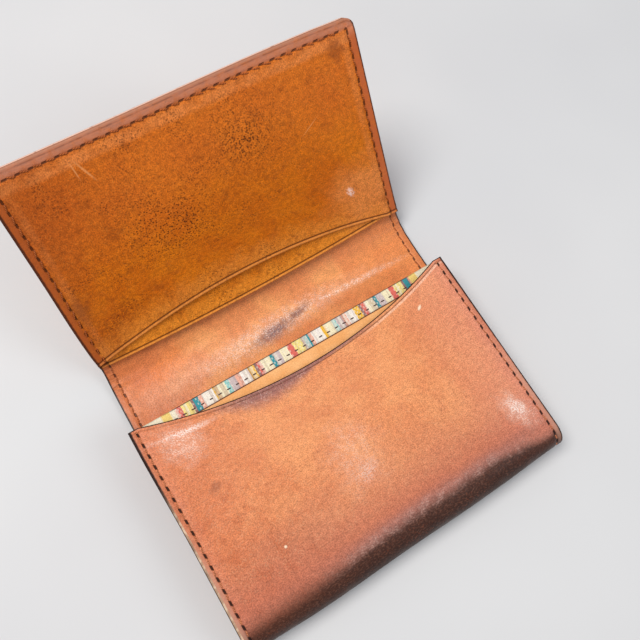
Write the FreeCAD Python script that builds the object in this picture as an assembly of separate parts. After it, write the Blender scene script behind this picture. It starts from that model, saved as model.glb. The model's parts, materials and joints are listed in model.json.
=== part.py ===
import FreeCAD, Part
import math
import os

# Leather business card case with side gussets, lying on its back with the lid standing part open.
#
# X runs across the case, +Y from the bottom fold towards the lid, and +Z up from the resting face.
# The origin is on the resting face, at the centre of the case's outline seen from above.
# The outer leather is one long strip: lid, spine, back, bottom fold and front. It is divided where it
# creases, so that every length that moves is a piece of its own. Inside the functions, y = 0 is the
# pocket mouth, and save() moves each piece to the origin above.

# Driving dimensions, in millimetres and degrees.
CASE_WIDTH = 110.0
BODY_DEPTH = 69.0         # pocket mouth to the outside of the bottom fold
FOLD_RADIUS = 6.0         # outside of the bottom fold
MOUTH_HEIGHT = 13.7       # outside of the front panel above the resting face, at the mouth
LID_ANGLE = 51.0          # lid above the resting face
LID_LENGTH = 64.7         # straight part of the lid
LID_CORNER_RADIUS = 4.0
SPINE_START = 3.0         # pocket mouth to the crease between back and spine
CURL_START = 14.5         # pocket mouth to where the spine begins to curl up into the lid
CURL_RADIUS = 11.5        # inside of that curl

OUTER_THICKNESS = 1.2
LINING_THICKNESS = 0.6
POCKET_THICKNESS = 0.7
WALL_THICKNESS = 0.8
GUSSET_THICKNESS = 0.7

FRONT_SCOOP_DEPTH = 8.9
FRONT_SCOOP_WIDTH = 104.0
DIVIDER_DROP = 4.5        # divider's top edge below the mouth
WALL_FOOT = 1.5           # lower ends of divider and striped wall beyond the fold's axis
LID_SCOOP_DEPTH = 7.2
LID_SCOOP_WIDTH = 106.0
LID_POCKET_START = 0.3    # pocket panels' open edge beyond the end of the curl

GUSSET_EDGE = 0.4         # gusset's edges inside the case's side edges
GUSSET_FLANGE = 4.0       # width of the sewn margins
GUSSET_TUCK = 9.2         # inward fold inside the case's side edges
GUSSET_MOUTH = 1.0        # gusset's open end inside the pocket mouth
GUSSET_FOOT = 66.0        # gusset's closed end behind the pocket mouth
GUSSET_FOOT_TUCK = 4.5
GUSSET_FOOT_HEIGHTS = (2.7, 9.0)
GUSSET_CLEARANCE = 0.1

CREASE_GAP = 0.3          # between neighbouring lengths of leather at a crease
FOLD_GAP_ANGLE = 4.5      # left open on each side of the split in the bottom fold
NOTCH_ANGLE = 25.5        # bevel of each side of the lid crease, so that the lid can open flat

STITCH_LENGTH = 2.6
STITCH_PITCH = 3.5
STITCH_WIDTH = 0.6
STITCH_HEIGHT = 0.35
FRONT_SEAM_INSET = 2.2
LID_SEAM_INSET = 2.7
GROOVE_WIDTH = 0.9
GROOVE_DEPTH = 0.5
TRIM_STITCH_LENGTH = 2.0
TRIM_STITCH_PITCH = 2.9
TRIM_STITCH_HEIGHT = 0.25
TRIM_SEAM_DROP = 3.0      # row of stitches below the striped wall's top edge
TRIM_SEAM_WIDTH = 98.0
CUT_MARGIN = 1.0          # how far a cutting shape reaches beyond what it cuts

# Worked-out sizes.
HALF_WIDTH = CASE_WIDTH / 2
INNER_HEIGHT = OUTER_THICKNESS + LINING_THICKNESS
FOLD_AXIS_Y = FOLD_RADIUS - BODY_DEPTH
FRONT_RUN = BODY_DEPTH - FOLD_RADIUS
FRONT_TILT = math.degrees(math.atan2(MOUTH_HEIGHT - 2 * FOLD_RADIUS, FRONT_RUN))
FRONT_LENGTH = FRONT_RUN / math.cos(math.radians(FRONT_TILT))
DIVIDER_TOP = FOLD_RADIUS - OUTER_THICKNESS
STRIPED_TOP = DIVIDER_TOP - WALL_THICKNESS
STRIPED_UNDERSIDE = STRIPED_TOP - WALL_THICKNESS
HINGE_ANGLE = LID_ANGLE / 2
LID_RADIANS = math.radians(LID_ANGLE)
CURL_REACH = (CURL_RADIUS + INNER_HEIGHT) * math.sin(LID_RADIANS)
LID_REACH = CURL_START + CURL_REACH + LID_LENGTH * math.cos(LID_RADIANS)
CENTRE_Y = (LID_REACH - BODY_DEPTH) / 2
CURL_STITCH_LIFT = CURL_RADIUS - math.sqrt(CURL_RADIUS**2 - (STITCH_LENGTH / 2) ** 2)
X_AXIS = FreeCAD.Vector(1, 0, 0)


def point(y, z):
    return FreeCAD.Vector(0, y, z)


def line(start, end):
    return Part.LineSegment(start, end).toShape()


def curl_point(angle, depth):
    """A point of the curl between spine and lid, at a depth below the inner surface."""
    turn = math.radians(angle)
    radius = CURL_RADIUS + depth
    return point(CURL_START + radius * math.sin(turn), INNER_HEIGHT + CURL_RADIUS - radius * math.cos(turn))


def curl_arc(start, end, depth):
    middle = (start + end) / 2
    return Part.Arc(curl_point(start, depth), curl_point(middle, depth), curl_point(end, depth)).toShape()


def fold_point(angle, radius):
    """A point of a fold about the X axis through the origin, at an angle from the top towards -Y."""
    turn = math.radians(angle)
    return point(-radius * math.sin(turn), radius * math.cos(turn))


def fold_arc(start, end, radius):
    middle = (start + end) / 2
    return Part.Arc(fold_point(start, radius), fold_point(middle, radius), fold_point(end, radius)).toShape()


def across_case(edges):
    """A closed outline in the YZ plane, made into a solid as wide as the case."""
    outline = Part.Wire(Part.sortEdges(edges)[0])
    solid = Part.Face(outline).extrude(FreeCAD.Vector(CASE_WIDTH, 0, 0))
    solid.translate(FreeCAD.Vector(-HALF_WIDTH, 0, 0))
    return solid


def plate(corners, bottom, top):
    """A flat plate from the corners (x, y) of its outline, between two heights."""
    points = [FreeCAD.Vector(x, y, bottom) for x, y in corners]
    outline = Part.makePolygon(points + points[:1])
    return Part.Face(outline).extrude(FreeCAD.Vector(0, 0, top - bottom))


def scoop_cutter(width, depth, edge_y, inwards):
    """The thumb scoop's circular segment; inwards is the sign of Y into the panel."""
    left = FreeCAD.Vector(-width / 2, edge_y, -CASE_WIDTH)
    right = FreeCAD.Vector(width / 2, edge_y, -CASE_WIDTH)
    deepest = FreeCAD.Vector(0, edge_y + inwards * depth, -CASE_WIDTH)
    beyond = FreeCAD.Vector(0, -inwards * depth, 0)
    edges = [Part.Arc(left, deepest, right).toShape(), line(right, right + beyond)]
    edges += [line(right + beyond, left + beyond), line(left + beyond, left)]
    return Part.Face(Part.Wire(edges)).extrude(FreeCAD.Vector(0, 0, 2 * CASE_WIDTH))


def place_on_lid(shape):
    """From the lid's flat layout (y along the lid from the curl, z above the lining) to the case."""
    shape.rotate(FreeCAD.Vector(0, 0, 0), X_AXIS, LID_ANGLE)
    shape.translate(curl_point(LID_ANGLE, 0))
    return shape


def place_on_front(shape):
    """From the front's flat layout (y from the fold's axis, z above that axis) to the case."""
    shape.rotate(FreeCAD.Vector(0, 0, 0), X_AXIS, FRONT_TILT)
    shape.translate(point(FOLD_AXIS_Y, FOLD_RADIUS))
    return shape


def round_lid_corners(shape):
    """Rounds the two free corners of a layer of the lid."""
    inner_y = LID_LENGTH - LID_CORNER_RADIUS
    outer_y = LID_LENGTH + CUT_MARGIN
    depth = INNER_HEIGHT + CUT_MARGIN
    for side in (-1, 1):
        inner_x = side * (HALF_WIDTH - LID_CORNER_RADIUS)
        outer_x = side * (HALF_WIDTH + CUT_MARGIN)
        corners = [(inner_x, inner_y), (outer_x, inner_y), (outer_x, outer_y), (inner_x, outer_y)]
        cutter = plate(corners, -depth, depth)
        foot = FreeCAD.Vector(inner_x, inner_y, -depth - CUT_MARGIN)
        cutter = cutter.cut(Part.makeCylinder(LID_CORNER_RADIUS, 2 * (depth + CUT_MARGIN), foot))
        shape = shape.cut(place_on_lid(cutter))
    return shape


def lid_crease_notch():
    """The bevelled gap at the crease between spine and lid, open on the outer side."""
    turn = math.radians(HINGE_ANGLE)
    along = point(math.cos(turn), math.sin(turn))
    down = point(math.sin(turn), -math.cos(turn))
    hinge = curl_point(HINGE_ANGLE, 0)
    depth = INNER_HEIGHT + CUT_MARGIN
    spread = CREASE_GAP / 2 + depth * math.tan(math.radians(NOTCH_ANGLE))
    side = along * (CREASE_GAP / 2)
    corners = [hinge - side - down, hinge - side, hinge - along * spread + down * depth]
    corners += [hinge + along * spread + down * depth, hinge + side, hinge + side - down]
    edges = [line(a, b) for a, b in zip(corners, corners[1:] + corners[:1])]
    return across_case(edges)


def spine_layer(top, bottom):
    """A layer of the spine between two depths below the inner surface."""
    start = SPINE_START + CREASE_GAP / 2
    top_start = point(start, INNER_HEIGHT - top)
    bottom_start = point(start, INNER_HEIGHT - bottom)
    edges = [line(top_start, curl_point(0, top)), curl_arc(0, HINGE_ANGLE, top)]
    edges += [line(curl_point(HINGE_ANGLE, top), curl_point(HINGE_ANGLE, bottom))]
    edges += [curl_arc(HINGE_ANGLE, 0, bottom), line(curl_point(0, bottom), bottom_start)]
    edges += [line(bottom_start, top_start)]
    return across_case(edges).cut(lid_crease_notch())


def lid_layer(top, bottom):
    """A layer of the lid between two depths below the inner surface, with the end of the curl."""
    along = point(math.cos(LID_RADIANS), math.sin(LID_RADIANS)) * LID_LENGTH
    top_end = curl_point(LID_ANGLE, top) + along
    bottom_end = curl_point(LID_ANGLE, bottom) + along
    edges = [curl_arc(HINGE_ANGLE, LID_ANGLE, top), line(curl_point(LID_ANGLE, top), top_end)]
    edges += [line(top_end, bottom_end), line(bottom_end, curl_point(LID_ANGLE, bottom))]
    edges += [curl_arc(LID_ANGLE, HINGE_ANGLE, bottom)]
    edges += [line(curl_point(HINGE_ANGLE, bottom), curl_point(HINGE_ANGLE, top))]
    return round_lid_corners(across_case(edges).cut(lid_crease_notch()))


def lid_pocket(bottom, scooped):
    """A pocket panel on the lid, straight or scooped along its open edge."""
    corners = [(-HALF_WIDTH, LID_POCKET_START), (HALF_WIDTH, LID_POCKET_START)]
    corners += [(HALF_WIDTH, LID_LENGTH), (-HALF_WIDTH, LID_LENGTH)]
    panel = plate(corners, bottom, bottom + POCKET_THICKNESS)
    if scooped:
        panel = panel.cut(scoop_cutter(LID_SCOOP_WIDTH, LID_SCOOP_DEPTH, LID_POCKET_START, 1))
    return round_lid_corners(place_on_lid(panel))


def back_outer():
    """The outer leather under the pocket, with the lower half of the bottom fold and two seam grooves."""
    end = SPINE_START - CREASE_GAP / 2
    inner_radius = FOLD_RADIUS - OUTER_THICKNESS
    split = 90 + FOLD_GAP_ANGLE
    edges = [fold_arc(split, 180, FOLD_RADIUS), fold_arc(180, split, inner_radius)]
    edges += [line(fold_point(split, inner_radius), fold_point(split, FOLD_RADIUS))]
    outer_end = point(end - FOLD_AXIS_Y, -FOLD_RADIUS)
    inner_end = point(end - FOLD_AXIS_Y, -inner_radius)
    edges += [line(fold_point(180, FOLD_RADIUS), outer_end), line(outer_end, inner_end)]
    edges += [line(inner_end, fold_point(180, inner_radius))]
    shape = across_case(edges)
    shape.translate(point(FOLD_AXIS_Y, FOLD_RADIUS))
    for side in (-1, 1):
        middle = side * (HALF_WIDTH - LID_SEAM_INSET)
        corner = FreeCAD.Vector(middle - GROOVE_WIDTH / 2, FOLD_AXIS_Y, 0)
        shape = shape.cut(Part.makeBox(GROOVE_WIDTH, FRONT_RUN + end - CREASE_GAP, GROOVE_DEPTH, corner))
    return shape


def back_lining():
    end = SPINE_START - CREASE_GAP / 2
    corners = [(-HALF_WIDTH, FOLD_AXIS_Y), (HALF_WIDTH, FOLD_AXIS_Y), (HALF_WIDTH, end), (-HALF_WIDTH, end)]
    return plate(corners, OUTER_THICKNESS, INNER_HEIGHT)


def front_panel():
    """The outer leather of the front, with the upper half of the bottom fold and the thumb scoop."""
    inner_radius = FOLD_RADIUS - OUTER_THICKNESS
    split = 90 - FOLD_GAP_ANGLE
    edges = [fold_arc(0, split, FOLD_RADIUS), fold_arc(split, 0, inner_radius)]
    edges += [line(fold_point(split, FOLD_RADIUS), fold_point(split, inner_radius))]
    outer_end = point(FRONT_LENGTH, FOLD_RADIUS)
    inner_end = point(FRONT_LENGTH, inner_radius)
    edges += [line(fold_point(0, FOLD_RADIUS), outer_end), line(outer_end, inner_end)]
    edges += [line(inner_end, fold_point(0, inner_radius))]
    panel = across_case(edges)
    panel = panel.cut(scoop_cutter(FRONT_SCOOP_WIDTH, FRONT_SCOOP_DEPTH, FRONT_LENGTH, -1))
    return place_on_front(panel)


def front_wall(top, length):
    """A flat wall under the front panel, from beside the fold to a straight top edge."""
    corners = [(-HALF_WIDTH, WALL_FOOT), (HALF_WIDTH, WALL_FOOT), (HALF_WIDTH, length), (-HALF_WIDTH, length)]
    return place_on_front(plate(corners, top - WALL_THICKNESS, top))


def underside_height(y):
    """The height of the striped wall's underside, less the gusset's clearance."""
    turn = math.radians(FRONT_TILT)
    rise = (y - FOLD_AXIS_Y) * math.tan(turn)
    return FOLD_RADIUS + STRIPED_UNDERSIDE / math.cos(turn) + rise - GUSSET_CLEARANCE


def gusset_section(side, y, bottom, top, tuck):
    """The gusset's V across the case: two sewn margins joined by a fold tucked inwards."""
    edge = HALF_WIDTH - GUSSET_EDGE
    margin = max(HALF_WIDTH - GUSSET_FLANGE, HALF_WIDTH - tuck + GUSSET_THICKNESS)
    apex = HALF_WIDTH - tuck
    middle = (bottom + top) / 2
    step = GUSSET_THICKNESS
    inside = [(edge, bottom), (margin, bottom), (apex, middle), (margin, top), (edge, top)]
    outside = [(edge, top - step), (margin, top - step), (apex + step, middle)]
    outside += [(margin, bottom + step), (edge, bottom + step)]
    points = [FreeCAD.Vector(side * x, y, z) for x, z in inside + outside]
    return Part.makePolygon(points + points[:1])


def gusset(side):
    mouth_y = -GUSSET_MOUTH
    sections = [gusset_section(side, mouth_y, INNER_HEIGHT, underside_height(mouth_y), GUSSET_TUCK)]
    sections += [gusset_section(side, FOLD_AXIS_Y, INNER_HEIGHT, underside_height(FOLD_AXIS_Y), GUSSET_TUCK)]
    sections += [gusset_section(side, -GUSSET_FOOT, *GUSSET_FOOT_HEIGHTS, GUSSET_FOOT_TUCK)]
    return Part.makeLoft(sections, True, True)


def stitch(x, height, turn_point, turn):
    """One stitch along Y, lying on a surface, turned about X and moved to its place."""
    corner = FreeCAD.Vector(x - STITCH_WIDTH / 2, -STITCH_LENGTH / 2, height)
    shape = Part.makeBox(STITCH_WIDTH, STITCH_LENGTH, STITCH_HEIGHT, corner)
    shape.rotate(FreeCAD.Vector(0, 0, 0), X_AXIS, turn)
    shape.translate(turn_point)
    return shape


def steps(start, end, pitch):
    """Evenly spaced places from start to end, about one pitch apart."""
    count = round((end - start) / pitch)
    return [start + (end - start) * i / count for i in range(count + 1)]


def spine_stitching():
    """Stitches along both side edges of the spine's lining, on its flat and on its curl."""
    stitches = []
    flat_start = SPINE_START + STITCH_LENGTH
    curl_step = math.degrees(STITCH_PITCH / CURL_RADIUS)
    for side in (-1, 1):
        x = side * (HALF_WIDTH - LID_SEAM_INSET)
        for y in steps(flat_start, CURL_START - STITCH_LENGTH / 2, STITCH_PITCH):
            stitches.append(stitch(x, 0, point(y, INNER_HEIGHT), 0))
        stitches.append(stitch(x, CURL_STITCH_LIFT, curl_point(curl_step / 2, 0), curl_step / 2))
    return Part.makeCompound(stitches)


def lid_stitching():
    """Stitches round the three free sides of the lid, through its pocket panels."""
    stitches = []
    surface = 2 * POCKET_THICKNESS
    seam_x = HALF_WIDTH - LID_SEAM_INSET
    seam_end = LID_LENGTH - LID_SEAM_INSET
    for side in (-1, 1):
        for y in steps(LID_POCKET_START + STITCH_LENGTH, seam_end - STITCH_LENGTH, STITCH_PITCH):
            stitches.append(place_on_lid(stitch(side * seam_x, surface, point(y, 0), 0)))
    for x in steps(STITCH_LENGTH - seam_x, seam_x - STITCH_LENGTH, STITCH_PITCH):
        corner = FreeCAD.Vector(x - STITCH_LENGTH / 2, seam_end - STITCH_WIDTH / 2, surface)
        stitches.append(place_on_lid(Part.makeBox(STITCH_LENGTH, STITCH_WIDTH, STITCH_HEIGHT, corner)))
    return Part.makeCompound(stitches)


def front_stitching(side):
    """Stitches down one side of the front panel and on round the fold."""
    x = side * (HALF_WIDTH - FRONT_SEAM_INSET)
    stitches = []
    for y in steps(STITCH_PITCH / 2, FRONT_LENGTH - STITCH_LENGTH, STITCH_PITCH):
        stitches.append(place_on_front(stitch(x, FOLD_RADIUS, point(y, 0), 0)))
    fold_step = math.degrees(STITCH_PITCH / FOLD_RADIUS)
    for turn in (fold_step / 2, fold_step * 3 / 2):
        stitches.append(place_on_front(stitch(x, FOLD_RADIUS, point(0, 0), turn)))
    return Part.makeCompound(stitches)


def back_stitching():
    """Stitches in the two grooves under the back."""
    stitches = []
    for side in (-1, 1):
        x = side * (HALF_WIDTH - LID_SEAM_INSET)
        for y in steps(FOLD_AXIS_Y + STITCH_LENGTH, SPINE_START - STITCH_LENGTH, STITCH_PITCH):
            stitches.append(stitch(x, GROOVE_DEPTH - STITCH_HEIGHT, point(y, 0), 0))
    return Part.makeCompound(stitches)


def striped_wall_stitching():
    """A row of stitches below the striped wall's top edge."""
    stitches = []
    y = FRONT_LENGTH - TRIM_SEAM_DROP - STITCH_WIDTH / 2
    for x in steps(-TRIM_SEAM_WIDTH / 2, TRIM_SEAM_WIDTH / 2, TRIM_STITCH_PITCH):
        corner = FreeCAD.Vector(x - TRIM_STITCH_LENGTH / 2, y, STRIPED_TOP)
        shape = Part.makeBox(TRIM_STITCH_LENGTH, STITCH_WIDTH, TRIM_STITCH_HEIGHT, corner)
        stitches.append(place_on_front(shape))
    return Part.makeCompound(stitches)


def save(name, shape):
    shape.translate(FreeCAD.Vector(0, -CENTRE_Y, 0))
    shape.exportStep("parts/" + name + ".step")


def show_axis(name, y, z):
    print(name, "axis: y", round(y - CENTRE_Y, 3), "z", round(z, 3))


os.makedirs("parts", exist_ok=True)
save("back_outer_leather", back_outer())
save("back_lining", back_lining())
save("back_stitching", back_stitching())
save("front_panel", front_panel())
save("front_divider", front_wall(DIVIDER_TOP, FRONT_LENGTH - DIVIDER_DROP))
save("striped_wall", front_wall(STRIPED_TOP, FRONT_LENGTH))
save("striped_wall_stitching", striped_wall_stitching())
save("spine_outer_leather", spine_layer(LINING_THICKNESS, INNER_HEIGHT))
save("spine_lining", spine_layer(0, LINING_THICKNESS))
save("spine_stitching", spine_stitching())
save("lid_outer_leather", lid_layer(LINING_THICKNESS, INNER_HEIGHT))
save("lid_lining", lid_layer(0, LINING_THICKNESS))
save("lid_pocket_straight", lid_pocket(0, False))
save("lid_pocket_scooped", lid_pocket(POCKET_THICKNESS, True))
save("lid_stitching", lid_stitching())
for side, side_name in ((-1, "left"), (1, "right")):
    save("gusset_" + side_name, gusset(side))
    save("front_stitching_" + side_name, front_stitching(side))

hinge = curl_point(HINGE_ANGLE, 0)
show_axis("front fold", FOLD_AXIS_Y, FOLD_RADIUS)
show_axis("spine crease", SPINE_START, INNER_HEIGHT)
show_axis("lid crease", hinge.y, hinge.z)
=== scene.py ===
import json
import math

import bpy
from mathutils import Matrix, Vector
import numpy as np


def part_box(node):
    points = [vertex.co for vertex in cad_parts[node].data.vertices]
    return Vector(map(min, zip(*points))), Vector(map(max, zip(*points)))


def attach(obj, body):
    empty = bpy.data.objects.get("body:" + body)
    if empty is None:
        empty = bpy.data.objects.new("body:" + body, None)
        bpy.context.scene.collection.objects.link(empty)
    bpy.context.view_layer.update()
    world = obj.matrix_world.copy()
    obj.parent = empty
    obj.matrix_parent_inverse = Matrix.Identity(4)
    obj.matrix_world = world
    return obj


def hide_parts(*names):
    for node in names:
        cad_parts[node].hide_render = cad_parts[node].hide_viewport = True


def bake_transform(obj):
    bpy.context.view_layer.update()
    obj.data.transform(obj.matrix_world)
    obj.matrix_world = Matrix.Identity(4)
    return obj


# Looks of a worn leather card case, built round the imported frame.
#
# Lengths are millimetres, and become metres when a mesh is made. Each sheet of leather is laid out
# flat, with x across the case and s along it, and a place function bends that layout into the case:
# - on_inside: s runs along the inner surface, from the pocket mouth (0) over spine and curl to the
#   lid's end, and it is below 0 on the back
# - on_strip: s runs from the bottom fold's axis (0) up the front, and it is below 0 round the fold
#   and under the back
MM = 0.001

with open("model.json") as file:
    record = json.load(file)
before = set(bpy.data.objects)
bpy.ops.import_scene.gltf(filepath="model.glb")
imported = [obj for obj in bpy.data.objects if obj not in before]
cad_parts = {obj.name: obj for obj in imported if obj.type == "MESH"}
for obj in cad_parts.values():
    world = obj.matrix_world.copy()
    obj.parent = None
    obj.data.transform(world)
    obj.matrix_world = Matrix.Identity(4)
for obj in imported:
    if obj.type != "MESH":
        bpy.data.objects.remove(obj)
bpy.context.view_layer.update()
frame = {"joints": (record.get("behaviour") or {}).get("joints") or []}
pivots = {joint["name"]: [value / MM for value in joint["pos_m"]] for joint in frame["joints"]}

# Sizes of the case.
HALF_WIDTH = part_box("back_lining")[1].x / MM
FOLD_Y, FOLD_RADIUS = pivots["front_fold"][1:]
OUTER_THICKNESS = 1.2
LINING_THICKNESS = 0.6
POCKET_THICKNESS = 0.7
WALL_THICKNESS = 0.8
CLOTH_THICKNESS = 0.3
GUSSET_THICKNESS = 0.7
INNER_HEIGHT = OUTER_THICKNESS + LINING_THICKNESS
SPINE_START = 3.0
MOUTH_Y = pivots["spine_crease"][1] - SPINE_START
CURL_START = 14.5
CURL_RADIUS = 11.5
LID_TURN = math.radians(51)
CURL_END = CURL_START + CURL_RADIUS * LID_TURN
LID_LENGTH = 64.7
LID_END = CURL_END + LID_LENGTH
LID_CORNER = 2.9
FRONT_RUN = MOUTH_Y - FOLD_Y
FRONT_TILT = math.atan2(13.7 - 2 * FOLD_RADIUS, FRONT_RUN)
FRONT_LENGTH = FRONT_RUN / math.cos(FRONT_TILT)
FOLD_SWEEP = math.pi - FRONT_TILT
STRIP_TURNED = -FOLD_RADIUS * FOLD_SWEEP      # where the strip leaves the fold, under the back
DIVIDER_TOP = FOLD_RADIUS - OUTER_THICKNESS
STRIPED_TOP = DIVIDER_TOP - WALL_THICKNESS
STRIPED_BOTTOM = STRIPED_TOP - WALL_THICKNESS
WALL_FOOT = 1.5
DIVIDER_DROP = 4.5
FRONT_SCOOP = (52.0, 8.9)                     # half width and depth
LID_SCOOP = (53.5, 7.4)
OUTER_SPLIT = -31.0                           # under the back, where the strip and the spine's piece meet
FLAT_SPLIT = 10.0                             # on the spine, where the back's and the lid's pieces meet

# Seams.
FRONT_SEAM = 2.2
LID_SEAM = 2.7
STITCH_PITCH = 3.5
STITCH_GAP = 0.45                             # from the end of one stitch to the next
FRONT_SEAM_TOP = FRONT_LENGTH - 1.9           # the hole nearest the mouth
LID_SEAM_START = CURL_END + 1.3               # the hole nearest the curl
TRIM_PITCH = 2.9
TRIM_DROP = 3.0
TRIM_HALF = 49.0                              # half the length of the row along the striped wall
THREAD_WIDTH = 0.46
THREAD_HEIGHT = 0.4
SEAM_GROOVE = (0.22, 0.5)                     # depth and half width
OUTSIDE_GROOVE = 1.6                          # how much deeper the channel outside is

GRID_STEP = 1.3
EDGE_INSETS = (0, 0.05, 0.14, 0.3, 0.55)
SEAM_INSETS = EDGE_INSETS + (0.9, 1.3, 1.65, 1.95, 2.2, 2.45, 2.7, 2.95, 3.25, 3.7, 4.4)
RIM_INSETS = EDGE_INSETS + (0.75, 0.9, 1.05, 1.2, 1.35, 1.5, 1.8, 2.2, 2.8)
RIM_CREASE = 1.2                              # from a free edge to the line pressed beside it
BUTT = (0,)
FAR = 99.0                                    # the distance given to an edge that isn't a real one
ANY_DEPTH = 1e4                               # a patch of this depth goes through the whole sheet
END_FADE = (3, 31)                            # where a curved cut's shift fades out, from the end

dice = np.random.default_rng(11)


def smooth(value, low, high):
    """0 below low, 1 above high, and a smooth rise between them."""
    t = np.clip((value - low) / (high - low), 0, 1)
    return t * t * (3 - 2 * t)


def hump(value, centre, width):
    return np.exp(-(((value - centre) / width) ** 2))


def scoop(x, size):
    """How deep a circular thumb scoop reaches at x."""
    half, depth = size
    radius = (half**2 + depth**2) / (2 * depth)
    return np.maximum(depth - radius + np.sqrt(radius**2 - np.minimum(np.abs(x), half) ** 2), 0)


# Places -------------------------------------------------------------------------------------------

def on_inside(x, s, h):
    """On the inner surface of back, spine and lid; h is the height above it."""
    turn = np.clip((s - CURL_START) / CURL_RADIUS, 0, LID_TURN)
    beyond = np.maximum(s - CURL_END, 0)
    radius = CURL_RADIUS - h
    narrowed = 0.2 * hump(s, CURL_END + 17, 11) - 0.45 * hump(s, CURL_END - 1, 5)
    waist = np.where(x < 0, narrowed, 0.4 * hump(s, CURL_END - 6, 9))
    sag = 0.25 * np.sin(x / 23 + 0.6) * hump(s, CURL_END + 34, 22)
    y = MOUTH_Y + np.minimum(s, CURL_START) + (radius - sag) * np.sin(turn) + beyond * np.cos(turn)
    z = INNER_HEIGHT + CURL_RADIUS - (radius - sag) * np.cos(turn) + beyond * np.sin(turn)
    return np.stack([x * (1 + waist / HALF_WIDTH), y, z], -1)


def on_strip(x, s, h):
    """On the strip of front, bottom fold and back; h is the distance from the fold's axis."""
    turn = FRONT_TILT + np.clip(-s / FOLD_RADIUS, 0, FOLD_SWEEP)
    ahead = np.maximum(s, 0)
    beyond = np.maximum(STRIP_TURNED - s, 0)
    y = FOLD_Y - h * np.sin(turn) + ahead * math.cos(FRONT_TILT) + beyond
    z = FOLD_RADIUS + h * np.cos(turn) + ahead * math.sin(FRONT_TILT)
    inner = smooth(HALF_WIDTH - np.abs(x), 3, 22)
    pillow = 0.35 * hump(s, 24, 20) * inner
    bulge = 0.55 * hump(s, STRIP_TURNED / 2, 5) * inner
    flare = np.where(x < 0, 0.6, 0.1) * smooth(s, 26, 58)
    return np.stack([x * (1 + flare / HALF_WIDTH) + 0 * h, y - bulge, z + pillow], -1)


# Meshes -------------------------------------------------------------------------------------------

def lines(start, end, start_insets, end_insets, step=GRID_STEP):
    """Grid lines from start to end: one at each inset from either end, and even steps between."""
    first, last = start + start_insets[-1], end - end_insets[-1]
    between = np.linspace(first, last, max(2, round((last - first) / step)) + 1)[1:-1]
    return np.concatenate([start + np.array(start_insets), between, (end - np.array(end_insets))[::-1]])


def make_mesh(name, points, faces, attributes, material):
    mesh = bpy.data.meshes.new(name)
    mesh.from_pydata((points * MM).tolist(), [], faces)
    for attribute, values in attributes.items():
        layer = mesh.attributes.new(attribute, "FLOAT_VECTOR", "POINT")
        layer.data.foreach_set("vector", np.asarray(values, np.float32).ravel())
    mesh.shade_smooth()
    mesh.set_sharp_from_angle(angle=math.radians(50))
    mesh.materials.append(material)
    piece = bpy.data.objects.new(name, mesh)
    bpy.context.scene.collection.objects.link(piece)
    return piece


def closed_grid(name, top, bottom, attributes, material):
    """A closed mesh between two grids of points, joined by a wall round their border.

    Each attribute is a pair: its values on the top grid, and on the bottom one.
    """
    rows, columns = top.shape[:2]
    count = rows * columns
    index = np.arange(count).reshape(rows, columns)
    a, b, c, d = index[:-1, :-1], index[:-1, 1:], index[1:, 1:], index[1:, :-1]
    upper = np.stack([a, b, c, d], -1).reshape(-1, 4)
    lower = upper[:, ::-1] + count
    border = np.concatenate([index[0, :-1], index[:-1, -1], index[-1, :0:-1], index[:0:-1, 0]])
    after = np.roll(border, -1)
    wall = np.stack([after, border, border + count, after + count], -1)
    faces = np.concatenate([upper, lower, wall]).tolist()
    points = np.concatenate([top.reshape(-1, 3), bottom.reshape(-1, 3)])
    both = {}
    for key, pair in attributes.items():
        both[key] = np.concatenate([values.reshape(-1, 3) for values in pair])
    return make_mesh(name, points, faces, both, material)


def round_corner(x, s, radius, end):
    """Moves the square corners at the end of a sheet on to arcs."""
    out_x = np.abs(x) - (HALF_WIDTH - radius)
    out_s = s - (end - radius)
    reach = np.maximum(out_x, out_s)
    share = np.where((out_x > 0) & (out_s > 0), reach / np.maximum(np.hypot(out_x, out_s), 1e-6), 1)
    new_x = np.where(share < 1, np.sign(x) * (HALF_WIDTH - radius + out_x * share), x)
    return new_x, np.where(share < 1, end - radius + out_s * share, s)


def sheet(name, place, xs, ss, bottom, thickness, material, **shape):
    """A sheet of leather of the grid lines xs and ss, its underside at height bottom.

    start and end give how far each end is moved along s at x. A butt end is cut square, to meet
    another piece. lift raises the sheet, and upper and lower are reliefs on its two faces. Its
    layout is x, s and the depth below its top, or below its underside if seen_below is set, and
    relabel gives the layout's s where it isn't the sheet's own.
    """
    x, s = np.meshgrid(xs, ss)
    side = HALF_WIDTH - np.abs(x)
    from_start, from_end = s - ss[0], ss[-1] - s
    if shape.get("butt_start"):
        from_start = np.full_like(s, FAR)
    if shape.get("butt_end"):
        from_end = np.full_like(s, FAR)
    rim = np.stack([side, from_start, from_end], -1)
    near = rim.min(axis=-1)
    bevel = shape.get("bevel", 0.3)
    rounded = bevel * (1 - np.sqrt(1 - (1 - np.minimum(near / bevel, 1)) ** 2))
    half = thickness / 2 - rounded
    label = shape["relabel"](s) if "relabel" in shape else s
    layout = [np.stack([x, label, np.full_like(x, depth)], -1) for depth in (0, thickness)]
    if shape.get("seen_below"):
        layout.reverse()
    if "start" in shape:
        s = s + shape["start"](x) * (1 - smooth(from_start, *END_FADE))
    if "end" in shape:
        s = s + shape["end"](x) * (1 - smooth(from_end, *END_FADE))
    if "corner" in shape:
        x, s = round_corner(x, s, shape["corner"], ss[-1])
    middle = bottom + thickness / 2 + (shape["lift"](x, rim) if "lift" in shape else 0)
    upper = middle + half + (shape["upper"](x, s, rim) if "upper" in shape else 0)
    lower = middle - half + (shape["lower"](x, s, rim) if "lower" in shape else 0)
    top, under = place(x, s, upper), place(x, s, lower)
    return closed_grid(name, top, under, {"flat": layout, "rim": (rim, rim)}, material)


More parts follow.
